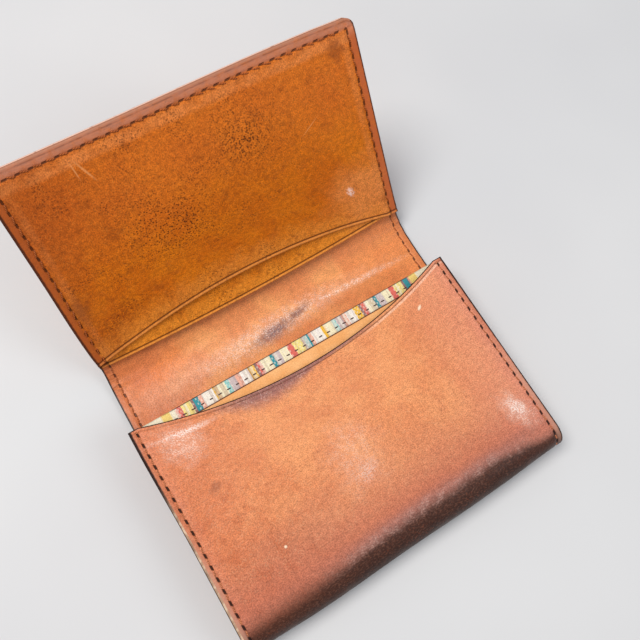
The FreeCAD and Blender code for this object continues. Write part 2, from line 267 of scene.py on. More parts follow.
def thread(name, runs, material):
    """Stitches as short arched lengths of thread.

    A run is (place, base, upwards, scale, [(x, s, turn), ...]): upwards is 1, or -1 under a sheet.
    """
    along_steps, around_steps = 9, 8
    length = STITCH_PITCH - STITCH_GAP
    t = np.linspace(-1, 1, along_steps)[:, None]
    around = np.arange(around_steps) * 2 * math.pi / around_steps
    swell = np.sqrt(1 - 0.85 * t**6)
    points, faces, twist = [], [], []
    for place, base, upwards, scale, stitches in runs:
        for x0, s0, turn in stitches:
            turn = turn + dice.normal(0, 0.05)
            reach = scale * length / 2 * (1 + dice.normal(0, 0.04))
            along = t * reach + 0 * around
            across = THREAD_WIDTH / 2 * swell * np.cos(around)
            rise = 0.2 - 0.5 * t**4 + THREAD_HEIGHT / 2 * swell * np.sin(around)
            x = x0 + along * math.cos(turn) - across * math.sin(turn)
            s = s0 + along * math.sin(turn) + across * math.cos(turn)
            first = len(points) * along_steps * around_steps
            points.append(place(x, s, base + upwards * scale * rise).reshape(-1, 3))
            layout = np.stack([along, around + 0 * along, np.full_like(along, len(points))], -1)
            twist.append(layout.reshape(-1, 3))
            ring = first + np.arange(around_steps)
            for step in range(along_steps - 1):
                low = ring + step * around_steps
                high = low + around_steps
                quads = np.stack([low, np.roll(low, -1), np.roll(high, -1), high], -1)
                faces += (quads if upwards > 0 else quads[:, ::-1]).tolist()
            last = ring + (along_steps - 1) * around_steps
            ends = [ring[::-1], last] if upwards > 0 else [ring, last[::-1]]
            faces += [end.tolist() for end in ends]
    return make_mesh(name, np.concatenate(points), faces, {"flat": np.concatenate(twist)}, material)


# Materials ----------------------------------------------------------------------------------------

def srgb(red, green, blue):
    """A colour as a scene value, from its 0 to 255 display values."""
    values = [channel / 255 for channel in (red, green, blue)]
    return [v / 12.92 if v <= 0.04045 else ((v + 0.055) / 1.055) ** 2.4 for v in values] + [1.0]


class Material:
    """The nodes of one material. Its textures are laid out in the flat sheet's millimetres."""

    def __init__(self, name):
        self.material = bpy.data.materials.new(name)
        self.material.use_nodes = True
        self.nodes = self.material.node_tree.nodes
        self.links = self.material.node_tree.links
        self.shader = self.nodes["Principled BSDF"]
        self.flat = self.attribute("flat")
        self.x, self.s, self.depth = self.split(self.flat)
        self.side, self.from_start, self.from_end = self.split(self.attribute("rim"))
        self.colour = None

    def node(self, kind, settings=(), **inputs):
        made = self.nodes.new("ShaderNode" + kind)
        for key, value in dict(settings).items():
            setattr(made, key, value)
        for key, value in inputs.items():
            self.put(value, made.inputs[int(key[1:]) if key[0] == "i" and key[1:].isdigit() else key])
        return made

    def put(self, value, socket):
        if isinstance(value, bpy.types.NodeSocket):
            self.links.new(value, socket)
        else:
            socket.default_value = value

    def attribute(self, name):
        return self.node("Attribute", {"attribute_name": name}).outputs["Vector"]

    def split(self, vector):
        return self.node("SeparateXYZ", Vector=vector).outputs[:3]

    def calc(self, operation, a, b=0.0):
        return self.node("Math", {"operation": operation}, i0=a, i1=b).outputs[0]

    def chain(self, operation, values):
        result = values[0]
        for value in values[1:]:
            result = self.calc(operation, result, value)
        return result

    def times(self, *values):
        return self.chain("MULTIPLY", values)

    def plus(self, *values):
        return self.chain("ADD", values)

    def either(self, *values):
        return self.chain("MAXIMUM", values)

    def ramp(self, value, low, high, to_low=0.0, to_high=1.0):
        """A smooth change from to_low at low to to_high at high; low may be above high."""
        ends = {"i1": low, "i2": high, "i3": to_low, "i4": to_high}
        if low > high:
            ends = {"i1": high, "i2": low, "i3": to_high, "i4": to_low}
        settings = {"interpolation_type": "SMOOTHSTEP", "clamp": True}
        return self.node("MapRange", settings, i0=value, **ends).outputs[0]

    def band(self, value, centre, inner, outer):
        """1 within inner of the centre, falling to 0 at outer."""
        away = self.calc("ABSOLUTE", self.calc("SUBTRACT", value, centre))
        return self.ramp(away, outer, inner)

    def scaled(self, scale, shift):
        """The flat layout scaled and shifted; each pattern has a shift, so that they don't line up."""
        return self.node("Mapping", Vector=self.flat, Scale=scale, Location=(shift, shift, 0)).outputs[0]

    def noise(self, size, detail=2.0, stretch=(1, 1, 1), shift=0.0):
        """Noise from 0 to 1 with features of about that size."""
        vector = self.scaled([1 / (size * value) for value in stretch], shift)
        return self.node("TexNoise", Vector=vector, Scale=1.0, Detail=detail).outputs[0]

    def patches(self, size, detail, shift, *ends):
        """Uneven patches of about that size: noise as a share, by the ends that ramp takes."""
        return self.ramp(self.noise(size, detail, shift=shift), *ends)

    def wander(self, value, size, detail, shift, amount):
        """The value with noise of about that size and up to that amount added."""
        return self.plus(value, self.times(self.noise(size, detail, shift=shift), amount))

    def cells(self, size, shift=0.0):
        """Distance from the nearest of scattered points, in sizes."""
        vector = self.scaled([1 / size] * 3, shift)
        return self.node("TexVoronoi", Vector=vector, Scale=1.0).outputs["Distance"]

    def spot(self, x, s, half_x, half_s, turn=0.0, rough=0.5, softness=0.7):
        """A soft uneven patch: 1 in its middle and 0 outside its two half widths."""
        place = {"Location": (x, s, 0), "Rotation": (0, 0, math.radians(turn))}
        place["Scale"] = (half_x, half_s, ANY_DEPTH)
        vector = self.node("Mapping", {"vector_type": "TEXTURE"}, Vector=self.flat, **place).outputs[0]
        away = self.node("VectorMath", {"operation": "LENGTH"}, i0=vector).outputs["Value"]
        if rough:
            uneven = self.noise(min(half_x, half_s) * 0.7, 3.0, shift=x + s)
            away = self.plus(away, self.times(self.calc("SUBTRACT", uneven, 0.5), 2 * rough))
        return self.ramp(away, 1.0 + softness / 2, 1.0 - softness)

    def streak(self, x, s, half_length, half_width, turn):
        """A thin tapered scratch."""
        return self.spot(x, s, half_length, half_width, turn, rough=0, softness=0.8)

    def dots(self, size, shift, gathered):
        """Small round dots, size apart, in clumps gathered wide."""
        made = self.ramp(self.cells(size, shift), 0.42, 0.2)
        return self.times(made, self.ramp(self.noise(gathered, shift=shift), 0.4, 0.58))

    def mix(self, factor, a, b, blend="MIX"):
        settings = {"data_type": "RGBA", "blend_type": blend, "clamp_factor": True}
        return self.node("Mix", settings, i0=factor, i6=a, i7=b).outputs[2]

    def over(self, colour, rgb, *shares):
        """Lays a display colour over the colour, by the product of the shares."""
        return self.mix(self.times(*shares), colour, srgb(*rgb))

    def lay(self, rgb, *shares):
        """Lays a display colour over the material's colour."""
        self.colour = self.over(self.colour, rgb, *shares)

    def shade(self, factor, amount):
        """Multiplies the colour by a grey that goes from 1 - amount to 1 + amount with the factor."""
        value = self.ramp(factor, 0.3, 0.7, 1 - amount, 1 + amount)
        grey = self.node("CombineColor", i0=value, i1=value, i2=value).outputs[0]
        self.colour = self.mix(1.0, self.colour, grey, "MULTIPLY")

    def seam_holes(self, across, inset, along, start, slant, reach=0.75):
        """Slanted slots where the thread goes through, one each pitch along the seam; the materials paint
        them dark as shade in the holes.
        """
        off = self.calc("SUBTRACT", across, inset)
        place = self.calc("DIVIDE", self.plus(along, -start, self.times(off, slant)), STITCH_PITCH)
        middle = self.calc("ABSOLUTE", self.calc("SUBTRACT", self.calc("FRACT", place), 0.5))
        slot = reach / STITCH_PITCH
        lengthways = self.ramp(middle, 0.5 - 1.3 * slot, 0.5 - 0.7 * slot)
        return self.times(lengthways, self.band(off, 0.0, 0.16, 0.42))

    def finish(self, roughness, height, specular=0.5):
        """Sets the shader from the colour, a roughness and a height in millimetres."""
        self.put(self.colour, self.shader.inputs["Base Color"])
        self.put(roughness, self.shader.inputs["Roughness"])
        self.shader.inputs["Specular IOR Level"].default_value = specular
        made = self.node("Bump", Strength=1.0, Distance=MM, Height=height)
        self.put(made.outputs[0], self.shader.inputs["Normal"])
        return self.material


def leather_height(m):
    """Relief of smooth leather: shallow pebbles with a finer grain on them, and slow waves."""
    pebbles = m.times(m.ramp(m.cells(0.75), 0.1, 0.75), 0.03)
    return m.plus(pebbles, m.times(m.noise(0.22), 0.02), m.times(m.noise(5.0), 0.12))


def outer_leather():
    """Tan leather of front, fold, back, and the outside of spine and lid."""
    m = Material("outer_leather")
    front = m.ramp(m.s, STRIP_TURNED / 2 - 1, STRIP_TURNED / 2 + 1)
    outside = m.calc("SUBTRACT", 1.0, front)
    m.colour = m.mix(m.patches(14, 2.0, 0, 0.35, 0.65), srgb(226, 142, 92), srgb(236, 156, 102))
    m.lay((208, 120, 78), m.patches(8, 3.0, 40, 0.5, 0.7), 0.35)
    lower = m.wander(m.s, 12, 2.0, 7, 10)
    m.lay((203, 124, 93), m.ramp(lower, 36, 6), front, 0.85)
    left = m.wander(m.x, 10, 2.0, 27, 14)
    m.lay((206, 112, 68), m.ramp(left, -8, -42), front, 0.75)
    m.lay((186, 116, 90), m.spot(-38, 8, 24, 12, 8, 0.4), front, 0.4)
    rusty = m.times(m.patches(4, 4.0, 52, 0.5, 0.66), m.ramp(left, 6, -34), m.ramp(m.s, 46, 30))
    m.lay((186, 92, 48), rusty, front, 0.4)
    right = m.plus(m.ramp(m.x, 26, 52), m.times(m.ramp(m.side, 7, 2), 0.4))
    m.lay((219, 138, 114), right, front, 0.55)
    patina(m, front)
    hand_wear(m, front)
    blotches = m.patches(6, 4.0, 15, 0.55, 0.8)
    stained = m.either(m.patches(17, 3.0, 5, 0.5, 0.72), m.times(blotches, 0.6))
    handled = m.plus(m.ramp(m.side, 9, 0), m.times(stained, 0.7))
    m.lay((150, 84, 54), handled, outside, 0.5)
    # Fine mottling, pores, and a few pale nicks.
    m.shade(m.noise(0.38, 2.0), 0.26)
    m.shade(m.noise(1.4, 3.0), 0.1)
    m.lay((150, 78, 46), m.dots(0.46, 6, 1.2), 0.18)
    m.lay((255, 206, 160), m.dots(0.42, 9, 2.4), m.ramp(m.s, 4, 10), 0.22)
    scarce = m.patches(9, 2.0, 21, 0.44, 0.6)
    m.lay((128, 62, 36), m.dots(0.8, 3, 1.3), scarce, 0.36)
    m.lay((128, 66, 42), m.spot(-41.5, 37.5, 2.2, 1.5, 20, 0.8), front, 0.45)
    nicks = m.either(m.spot(39, 55.6, 0.95, 0.6, 30, 0.3), m.spot(-33, 13.2, 0.45, 0.45, 0, 0.2))
    m.lay((252, 226, 196), nicks, front)
    # Painted highlights: pale pink-white patches, a brighter core and glints stand in for reflections of
    # the lamps; these patches are also a little less rough.
    gloss_and_painted_highlight = m.either(m.spot(47.0, 9.5, 4.2, 7, 25, 0.5), m.spot(-43, 55, 7, 7, 25, 0.6),
                     m.times(m.spot(-3, 25, 9, 11, -10, 0.6), 0.48), m.spot(-42, 58.4, 11, 1.2, 8, 0.3))
    core = m.either(m.spot(47, 10.5, 2.2, 3.4, 25, 0.5), m.spot(-41, 58.4, 7, 0.9, 8, 0.4),
                    m.times(m.spot(-2.5, 18.5, 3.8, 2.6, 20, 0.8), 0.4))
    gloss_and_painted_highlight = m.times(gloss_and_painted_highlight, front)
    flecks = m.patches(0.38, 3.0, 5, 0.46, 0.58)
    flecks = m.times(flecks, m.patches(2.0, 2.0, 2, 0.34, 0.56))
    m.lay((255, 222, 204), gloss_and_painted_highlight, m.either(flecks, 0.22), 0.7)
    glints = m.patches(0.45, 2.0, 8, 0.44, 0.56)
    m.lay((255, 238, 228), core, front, glints, 0.75)
    outer_edges(m, front, outside)
    # Painted shade: nearly black in the stitch holes, for the shade inside them.
    holes = m.seam_holes(m.side, FRONT_SEAM, m.s, FRONT_SEAM_TOP, 0.7, 0.72)
    holes = m.times(holes, front)
    m.lay((34, 14, 8), holes, 0.96)
    roughness = m.patches(5, 3.0, 17, 0.3, 0.7, 0.4, 0.54)
    roughness = m.plus(roughness, m.times(gloss_and_painted_highlight, -0.1), m.times(holes, 0.4),
                       m.ramp(m.side, 1.0, 0.4, 0.0, 0.3))
    height = m.plus(leather_height(m), m.times(holes, -0.35), m.times(nicks, 0.05))
    return m.finish(roughness, height, specular=0.27)


def patina(m, front):
    """The dark handled band along the bottom fold, with painted sheen on and above its ridge, and a pale
    band above it that is partly wear and partly painted highlight.
    """
    wander = m.plus(m.wander(m.s, 9, 2.0, 9, 2.4), m.times(m.noise(0.7, 2.0), 0.8))
    m.lay((186, 100, 76), m.ramp(wander, 17, 5), front, 0.5)
    between = m.times(m.ramp(m.x, -34, -8), m.ramp(m.x, 54, 30))
    # Painted sheen: a purple-grey painted highlight above the fold's ridge.
    sheen = m.times(m.ramp(wander, 8.0, 3.0), front, m.plus(m.times(between, 0.5), 0.15))
    m.lay((146, 102, 96), sheen)
    rise = m.plus(m.ramp(m.x, -46, 0, -1.6, 1.0), m.ramp(m.x, 30, 52, 0.0, -2.6))
    level = m.calc("SUBTRACT", wander, rise)
    dark = m.mix(m.ramp(level, 1, -5), srgb(60, 29, 17), srgb(36, 15, 8))
    under = m.wander(m.s, 12, 3.0, 33, 10)
    width = m.ramp(m.x, -46, -6, 7.0, 3.6)
    patch = m.times(m.ramp(m.calc("DIVIDE", level, width), 1.0, 0.0), m.ramp(under, -26, -6))
    m.colour = m.mix(m.times(patch, 0.97), m.colour, dark)
    # Painted sheen: grey-brown streaks of painted highlight along the fold's ridge.
    streaks = m.ramp(m.noise(0.42, 2.0, (2.0, 1, 1)), 0.48, 0.62)
    ridge = m.times(m.band(m.s, -1.5, 2.0, 7.0), m.patches(6, 2.0, 3, 0.25, 0.6, 0.5, 1.0))
    m.lay((138, 92, 72), ridge, front, m.plus(m.times(streaks, 0.28), 0.02))
    # Pale band above the dark patch: partly worn leather, partly a painted highlight where the start of
    # the fold catches the light.
    worn_and_painted_highlight = m.times(m.band(level, 2.2, 0.6, 2.6), between, m.patches(3, 2.0, 71, 0.4, 0.6, 0.2, 0.75))
    m.lay((202, 160, 148), worn_and_painted_highlight, m.plus(m.times(streaks, 0.44), 0.22))


def hand_wear(m, front):
    """Brown wear where a thumb goes in, widest left of the middle, the edge's pressed line, and a painted
    highlight beside it on the right.
    """
    width = m.plus(m.band(m.x, -16, 2, 22), 0.28)
    near = m.calc("DIVIDE", m.plus(m.wander(m.from_end, 1.6, 3.0, 0, 1.6), -0.8), m.times(width, 4.6))
    worn = m.times(m.ramp(near, 1.25, 0.3), m.band(m.wander(m.x, 7, 2.0, 0, 8), 0, 16, 34))
    m.lay((124, 84, 92), worn, front, 0.78)
    flecks = m.times(m.patches(0.42, 3.0, 19, 0.5, 0.62), m.patches(2.0, 2.0, 6, 0.4, 0.6))
    m.lay((232, 196, 184), worn, front, flecks, 0.4)
    # Painted highlight: a pale lit line beside the pressed line, on the right.
    lit = m.times(m.band(m.from_end, RIM_CREASE + 0.6, 0.1, 0.6), m.ramp(m.x, 14, 30))
    m.lay((252, 206, 178), lit, front, 0.6)
    pressed = m.times(m.band(m.from_end, RIM_CREASE, 0.06, 0.26), m.ramp(m.x, -44, -20, 0.35, 0.7))
    m.lay((96, 48, 34), pressed, front)


def outer_edges(m, front, outside):
    """Burnished cut edges: nearly black, with pale wear low on the left, and along the lid's end pale
    wear with a painted highlight.
    """
    margin = m.times(m.ramp(m.side, 2.3, 1.3), front)
    m.lay((170, 92, 62), margin, m.ramp(m.s, 16, 36), 0.35)
    m.lay((196, 146, 124), margin, m.ramp(m.s, 36, 14), m.ramp(m.s, -9, -2), 0.6)
    rough = m.times(m.noise(1.5, 2.0), 0.3)
    dark = m.plus(m.ramp(m.s, 26, 58, 0.42, 0.6), m.times(m.ramp(m.x, 0, 10), -0.15), rough)
    side_edge = m.ramp(m.calc("SUBTRACT", m.side, dark), 0.3, -0.12)
    mouth_edge = m.ramp(m.from_end, 0.42, 0.28)
    m.lay((42, 20, 14), m.either(side_edge, mouth_edge), front)
    low = m.times(m.ramp(m.s, 46, 30), m.ramp(m.x, 0, -10))
    pale = m.times(m.band(m.side, 0.5, 0.16, 0.4), m.patches(4, 3.0, 13, 0.2, 0.5, 0.55, 1.0))
    face = m.mix(m.patches(2.0, 3.0, 29, 0.4, 0.62), srgb(186, 150, 122), srgb(232, 202, 172))
    m.colour = m.mix(m.times(pale, front, low, 0.9), m.colour, face)
    m.lay((58, 30, 20), m.ramp(m.side, 0.4, 0.15), outside)
    end_face = m.times(m.ramp(m.from_end, 0.35, 0.2), outside)
    face = m.mix(m.patches(2.4, 3.0, 4, 0.35, 0.65), srgb(150, 98, 76), srgb(188, 136, 112))
    # Pale marks on the lid's end face, away from its outer surface: partly scuffs, partly a painted
    # highlight along the edge that faces the light.
    scuffs_and_painted_highlight = m.times(m.patches(1.8, 3.0, 0, 0.26, 0.42), m.ramp(m.depth, 0.0, 0.3))
    face = m.over(face, (236, 192, 172), scuffs_and_painted_highlight)
    m.colour = m.mix(end_face, m.colour, face)


def lining_leather():
    """Light tan lining, seen on the spine between pocket and lid."""
    m = Material("lining_leather")
    m.colour = m.mix(m.patches(11, 2.0, 0, 0.35, 0.65), srgb(226, 140, 84), srgb(240, 162, 98))
    m.lay((208, 112, 66), m.ramp(m.x, -22, -48), 0.75)
    m.lay((228, 124, 54), m.spot(-37, 15, 9, 4.5, 20, 0.7), 0.7)
    m.lay((230, 138, 76), m.ramp(m.x, 18, 42), 0.75)
    # Painted shade: darker towards the lid, under the straight pocket's edge.
    under_lid = m.wander(m.s, 7, 2.0, 0, 3.0)
    m.lay((204, 112, 54), m.ramp(under_lid, 17, 23.5), 0.5)
    # Painted highlights: a long streak and broad pale glows along the spine's curve; the lining is also a
    # little less rough there.
    highlight_streak = m.spot(25, 9.8, 21, 1.3, -2, 0.4, 1.1)
    glow = m.either(m.spot(-8, 9.4, 40, 3.6, 2, 0.4, 1.2),
                    m.times(m.spot(-36, 9, 14, 6, 10, 0.5, 1.2), 0.6), highlight_streak)
    m.lay((252, 204, 174), glow, 0.36)
    stain = m.either(m.spot(-2.0, 8.2, 8.6, 2.6, 8, 0.45, 1.1),
                     m.times(m.spot(7, 9.8, 6.5, 1.6, 10, 0.4, 1.0), 0.8))
    m.lay((108, 77, 86), stain, m.patches(0.6, 3.0, 0, 0.34, 0.56, 0.6, 0.98))
    # Painted highlight: pale sparkles in the shiny area, fewer over the stain.
    painted_sparkle_area = m.either(m.spot(-3, 9.4, 24, 3.8, 4, 0.5, 1.3), m.times(highlight_streak, 0.9))
    painted_sparkle_area = m.times(painted_sparkle_area, m.patches(1.8, 2.0, 12, 0.34, 0.56))
    flecks = m.times(painted_sparkle_area, m.patches(0.42, 3.0, 3, 0.46, 0.58))
    m.lay((255, 236, 224), flecks, m.calc("SUBTRACT", 0.85, m.times(stain, 0.4)))
    m.shade(m.noise(0.38, 2.0), 0.22)
    m.lay((160, 84, 48), m.dots(0.5, 6, 1.6), 0.24)
    m.shade(m.noise(2.2, 3.0, shift=8), 0.09)
    m.lay((196, 110, 68), m.ramp(m.side, 2.9, 1.2), 0.45)
    edge = m.wander(m.side, 1.5, 2.0, 0, 0.3)
    m.lay((48, 26, 18), m.ramp(edge, 0.85, 0.5))
    m.lay((150, 92, 62), m.ramp(m.from_end, 0.3, 0.15))
    # Painted shade: dark in the stitch holes, for the shade inside them.
    holes = m.seam_holes(m.side, LID_SEAM, m.s, SPINE_START, 0.6, 0.65)
    m.lay((70, 30, 16), holes, 0.85)
    wrinkles = m.times(m.noise(1.0, 2.0, (6, 1, 1)), m.ramp(m.side, 4.5, 1.5), m.band(m.s, 19, 3, 9))
    m.lay((140, 76, 48), m.ramp(wrinkles, 0.5, 0.66), 0.5)
    roughness = m.plus(m.patches(4, 3.0, 6, 0.3, 0.7, 0.38, 0.5), m.times(glow, -0.06))
    height = m.plus(leather_height(m), m.times(holes, -0.25), m.times(wrinkles, 0.35))
    return m.finish(roughness, height, specular=0.35)


def free_edge(m):
    """The turned edge of a pocket panel: a painted highlight along its bead, the dark line pressed beside
    it, and painted shadow at its very edge.
    """
    # Painted highlight: a paler line along the bead.
    m.lay((230, 150, 82), m.band(m.from_start, 0.5, 0.15, 0.5), 0.42)
    m.lay((92, 42, 12), m.band(m.from_start, RIM_CREASE, 0.08, 0.4), 0.86)
    # Painted shadow: the panel's very edge is painted dark, for the crisp shade line under it.
    m.lay((64, 28, 12), m.ramp(m.from_start, 0.2, 0.1))


def lid_leather(name, near_share, near_colour):
    """Matt ochre leather of a pocket panel in the lid; near_colour has a share near its open edge."""
    m = Material(name)
    m.colour = m.mix(m.patches(13, 3.0, 0, 0.32, 0.68), srgb(196, 96, 4), srgb(211, 114, 9))
    m.lay((216, 112, 36), m.ramp(m.s, CURL_END + 24, CURL_END + 50), 0.6)
    m.lay((182, 84, 18), m.spot(-46, LID_END - 14, 20, 18, 0, 0.5), 0.7)
    m.lay((198, 102, 4), m.spot(14, CURL_END + 28, 30, 20, 10, 0.4), 0.5)
    # Painted light: a brighter orange band near the open edge, strongest on the straight panel.
    fuzzy = m.wander(m.from_start, 4, 3.0, 0, 9)
    m.lay(near_colour, m.ramp(fuzzy, 15, 5), near_share)
    m.lay((228, 138, 70), m.spot(46, CURL_END + 12, 15, 12, 0, 0.5), 0.75)
    # Painted highlight: a lighter orange band where the leather bulges inside the seams and catches the
    # light.
    pucker_highlight = m.either(m.band(m.from_end, 5.0, 0.6, 2.4), m.times(m.band(m.side, 4.6, 0.4, 1.8), 0.5))
    pucker_highlight = m.times(pucker_highlight, m.patches(7, 2.0, 18, 0.3, 0.6, 0.25, 0.6))
    m.lay((234, 142, 76), pucker_highlight)
    m.lay((146, 66, 10), m.patches(5, 4.0, 31, 0.54, 0.72), 0.4)
    m.lay((160, 78, 26), m.ramp(m.x, -38, -52), 0.3)
    m.shade(m.noise(0.38, 2.0, (0.8, 1.3, 1)), 0.23)
    m.shade(m.noise(1.3, 3.0, shift=14), 0.15)
    m.lay((112, 52, 8), m.dots(0.48, 6, 1.4), 0.42)
    m.lay((250, 158, 66), m.dots(0.5, 9, 3.0), 0.2)
    thick = m.either(m.spot(13, CURL_END + 45, 13, 11, 0, 0.6, 1.4),
                     m.spot(-17, CURL_END + 32, 21, 15, 0, 0.6, 1.4))
    dots = m.times(m.ramp(m.cells(0.7, 2), 0.38, 0.26), m.patches(1.0, 2.0, 50, 0.3, 0.46))
    scarce = m.times(m.patches(8, 2.0, 44, 0.4, 0.66), m.ramp(m.x, 36, 16), 0.55)
    core = m.times(m.spot(12, CURL_END + 46, 8, 6, 0, 0.7, 1.4), m.ramp(m.cells(0.88, 4), 0.38, 0.28))
    pores = m.either(m.times(dots, m.either(thick, scarce)), core)
    rusty = m.times(m.spot(-41, CURL_END + 10, 8, 5, 20, 0.8, 1.2), m.patches(0.7, 3.0, 0, 0.4, 0.6))
    m.lay((126, 48, 10), rusty, 0.6)
    m.lay((52, 20, 4), pores, 0.92)
    margin = m.either(m.ramp(m.side, 3.1, 2.0), m.ramp(m.from_end, 3.2, 2.1))
    tone = m.mix(m.ramp(m.x, -52, 52), srgb(178, 88, 36), srgb(196, 100, 54))
    tone = m.over(tone, (212, 134, 100), m.ramp(m.from_end, 6, 2))
    grimy = m.ramp(m.noise(0.7, 3.0, (5, 1, 1)), 0.42, 0.62, 0.15, 0.5)
    tone = m.over(tone, (166, 118, 102), m.ramp(m.from_end, 2.2, 1.2), grimy)
    margin = m.times(margin, m.patches(2.2, 3.0, 60, 0.25, 0.6, 0.55, 0.95))
    m.colour = m.mix(margin, m.colour, tone)
    smudge = m.either(m.spot(47, LID_END - 7, 2.8, 3.4, 0, 0.8),
                      m.spot(-50, CURL_END + 20, 3, 5, 0, 0.8))
    m.lay((110, 50, 26), smudge, 0.45)
    scratch = m.either(m.streak(-33.0, CURL_END + 57, 2.6, 0.22, -84),
                       m.streak(-30.6, CURL_END + 56, 3.6, 0.32, -66),
                       m.streak(33, LID_END - 24, 3.5, 0.14, 30))
    m.lay((246, 172, 108), scratch, 0.55)
    white = m.times(m.spot(40, CURL_END + 13.4, 1.2, 1.9, 15, 0.7), m.patches(0.6, 2.0, 0, 0.3, 0.55))
    m.lay((252, 216, 200), white, 0.9)
    along_side = m.seam_holes(m.side, LID_SEAM, m.s, LID_SEAM_START, 0.8)
    along_end = m.seam_holes(m.from_end, LID_SEAM, m.x, 0.0, 0.8)
    along_side = m.times(along_side, m.ramp(m.from_end, LID_SEAM - 0.5, LID_SEAM))
    holes = m.either(along_side, m.times(along_end, m.ramp(m.side, LID_SEAM - 0.5, LID_SEAM)))
    # Painted shade: dark in the stitch holes, for the shade inside them.
    m.lay((50, 20, 8), holes, 0.8)
    free_edge(m)
    dark = m.plus(m.wander(m.side, 1.5, 2.0, 0, 0.4), m.ramp(m.x, -10, 10, -0.25, 0.0))
    dark = m.ramp(dark, 0.95, 0.5)
    end_line = m.times(m.band(m.from_end, 0.7, 0.08, 0.3), m.patches(3, 2.0, 80, 0.4, 0.6, 0.1, 0.34))
    m.lay((62, 30, 18), m.either(m.times(dark, 0.9), end_line))
    end_face = m.times(m.ramp(m.from_end, 0.45, 0.25), m.patches(1.4, 3.0, 0, 0.3, 0.6, 0.4, 0.9))
    m.lay((178, 122, 96), end_face)
    relief = m.plus(m.times(m.noise(0.34, 3.0, (0.8, 1.5, 1)), 0.1), m.times(pores, -0.1),
                    m.times(holes, -0.3), m.times(m.noise(6, 2.0), 0.15))
    return m.finish(m.patches(5, 3.0, 6, 0.3, 0.7, 0.5, 0.64), relief, specular=0.16)


def divider_leather():
    """Ochre leather of the wall behind the front panel."""
    m = Material("divider_leather")
    m.colour = m.mix(m.patches(6, 3.0, 0, 0.3, 0.7), srgb(236, 164, 94), srgb(246, 182, 118))
    m.shade(m.noise(0.4, 3.0), 0.12)
    m.lay((92, 46, 24), m.ramp(m.from_end, 0.5, 0.3))
    return m.finish(0.55, leather_height(m), specular=0.35)


def gusset_leather():
    m = Material("gusset_leather")
    m.colour = m.mix(m.patches(6, 3.0, 0, 0.3, 0.7), srgb(176, 98, 54), srgb(204, 124, 74))
    m.shade(m.noise(0.5, 3.0), 0.1)
    creases = m.noise(1.2, 3.0, (1, 5, 1))
    m.lay((116, 58, 34), m.ramp(creases, 0.55, 0.7), 0.4)
    height = m.plus(leather_height(m), m.times(creases, 0.2))
    return m.finish(m.ramp(creases, 0.3, 0.7, 0.42, 0.55), height)


def striped_cloth():
    """Close-woven cloth whose narrow stripes run from the wall's top edge downwards."""
    m = Material("striped_cloth")
    cream, white, butter, gold = (255, 243, 204), (255, 246, 236), (255, 232, 142), (252, 196, 72)
    coral, salmon, teal, aqua = (238, 118, 104), (250, 186, 162), (62, 156, 166), (150, 212, 206)
    taupe, mauve = (158, 118, 112), (214, 196, 194)
    repeat = [(2.6, cream), (1.9, coral), (3.0, butter), (0.8, taupe), (1.7, teal), (1.3, salmon),
              (3.4, white), (1.6, gold), (2.4, cream), (1.3, aqua), (2.2, mauve), (1.7, salmon),
              (2.8, white), (2.0, gold), (0.9, taupe), (1.5, coral), (3.1, cream), (1.1, teal),
              (2.3, mauve)]
    period = sum(width for width, _ in repeat)
    wander = m.wander(m.x, 3, 2.0, 0, 0.4)
    ramp = m.node("ValToRGB", Fac=m.calc("FRACT", m.plus(m.times(wander, 1 / period), 10.15)))
    ramp.color_ramp.interpolation = "CONSTANT"
    stops = ramp.color_ramp.elements
    while len(stops) < len(repeat):
        stops.new(1.0)
    reached = 0.0
    for stop, (width, shade) in zip(stops, repeat):
        stop.position = reached / period
        stop.color = srgb(*shade)
        reached += width
    m.colour = ramp.outputs[0]
    finer = m.node("TexVoronoi", {"voronoi_dimensions": "1D"}, W=wander, Scale=1.0, Randomness=1.0)
    second = m.node("SeparateColor", Color=finer.outputs["Color"]).outputs
    m.lay((255, 246, 226), m.ramp(second[0], 0.66, 0.7), 0.5)
    m.lay((156, 104, 94), m.ramp(second[1], 0.84, 0.88), 0.35)
    rows = m.calc("SINE", m.plus(m.times(m.s, math.pi / 0.8), m.times(second[2], 6)))
    columns = m.calc("SINE", m.times(m.x, math.pi / 0.65))
    checks = m.ramp(m.times(rows, columns), 0.1, 0.4)
    m.lay((255, 246, 230), checks, m.ramp(second[2], 0.35, 0.45), 0.4)
    lines_between = m.ramp(finer.outputs["Distance"], 0.4, 0.5)
    m.lay((130, 84, 70), lines_between, 0.22)
    m.lay((255, 222, 132), m.ramp(m.side, 12.8, 12.4))
    m.lay((255, 246, 216), m.ramp(m.side, 10.2, 9.6))
    warp = m.calc("ABSOLUTE", m.calc("SINE", m.times(m.x, math.pi / 0.24)))
    weft = m.calc("ABSOLUTE", m.calc("SINE", m.times(m.s, math.pi / 0.24)))
    weave = m.calc("MULTIPLY", warp, weft)
    m.shade(weave, 0.08)
    m.shade(m.noise(0.5, 3.0), 0.1)
    # Painted shade: a dark line along the cloth's top edge.
    top_edge = m.times(m.ramp(m.from_end, 0.4, 0.2), m.ramp(m.side, 8, 16, 0.25, 0.85))
    m.lay((70, 36, 24), top_edge)
    return m.finish(m.ramp(weave, 0.0, 1.0, 0.85, 0.7), m.times(weave, 0.06), specular=0.3)


def thread_material(name, colour_low, colour_high):
    """Waxed thread, twisted: its flat layout runs along and round each stitch."""
    m = Material(name)
    twist = m.calc("SINE", m.plus(m.times(m.x, 2 * math.pi / 0.7), m.times(m.s, 2)))
    m.colour = m.mix(m.ramp(twist, -1, 1), srgb(*colour_low), srgb(*colour_high))
    m.shade(m.noise(1.5, 2.0), 0.2)
    return m.finish(0.6, m.times(twist, 0.03), specular=0.2)


